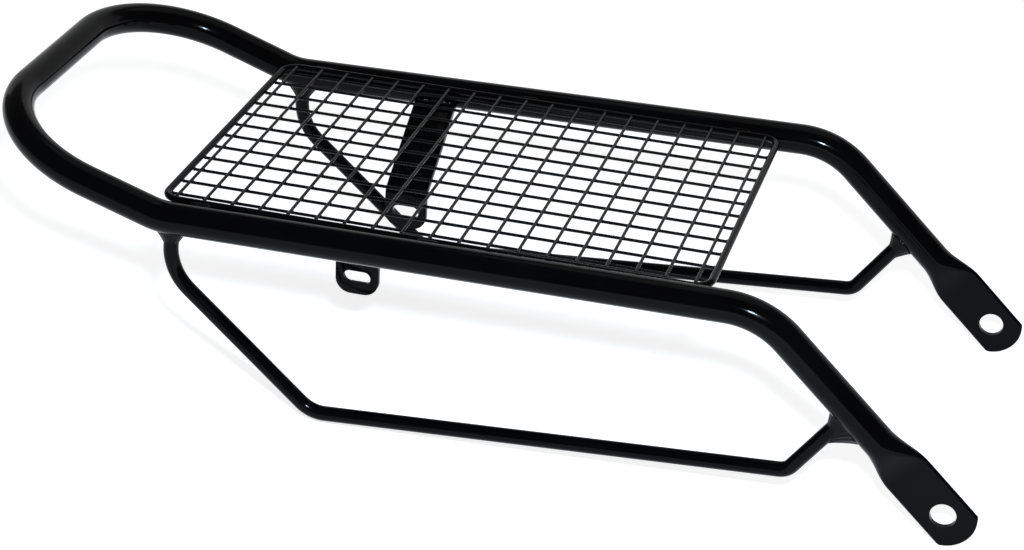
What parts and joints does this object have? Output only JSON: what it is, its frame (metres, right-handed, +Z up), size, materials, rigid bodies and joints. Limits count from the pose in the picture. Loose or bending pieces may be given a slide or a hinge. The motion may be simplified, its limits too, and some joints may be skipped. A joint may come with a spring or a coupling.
{
  "type": "motorcycle luggage rack",
  "caption": "Welded tube luggage rack with a bent rear grab hoop, flattened mounting legs, a wire mesh deck, rod side loops and slotted lugs.",
  "frame": {"origin": "midway between the two bolt holes of the front legs, on their common axis", "axes": "+X forward towards the legs, +Y to the left side, +Z up, with the mesh deck level"},
  "size_m": [0.7094, 0.2942, 0.1971],
  "materials": {
    "gloss_paint": "gloss black paint",
    "wire_paint": "satin black paint"
  },
  "bodies": {
    "root": {"main_tube": "gloss_paint", "left_side_loop": "gloss_paint", "right_side_loop": "gloss_paint", "deck_rim": "gloss_paint", "cross_wire_01": "wire_paint", "cross_wire_02": "wire_paint", "cross_wire_03": "wire_paint", "cross_wire_04": "wire_paint", "cross_wire_05": "wire_paint", "cross_wire_06": "wire_paint", "cross_wire_07": "wire_paint", "cross_wire_08": "wire_paint", "cross_wire_09": "wire_paint", "cross_wire_10": "wire_paint", "cross_wire_11": "wire_paint", "cross_wire_12": "wire_paint", "cross_wire_13": "wire_paint", "cross_wire_14": "wire_paint", "cross_wire_15": "wire_paint", "cross_wire_16": "wire_paint", "cross_wire_17": "wire_paint", "cross_wire_18": "wire_paint", "cross_wire_19": "wire_paint", "long_wire_01": "wire_paint", "long_wire_02": "wire_paint", "long_wire_03": "wire_paint", "long_wire_04": "wire_paint", "long_wire_05": "wire_paint", "long_wire_06": "wire_paint", "long_wire_07": "wire_paint", "long_wire_08": "wire_paint", "long_wire_09": "wire_paint", "long_wire_10": "wire_paint", "long_wire_11": "wire_paint", "long_wire_12": "wire_paint", "left_lug": "gloss_paint", "right_lug": "gloss_paint", "loop_rear_welds": "gloss_paint", "loop_front_welds": "gloss_paint", "lug_welds": "gloss_paint", "rim_welds": "gloss_paint"}
  },
  "joints": []
}
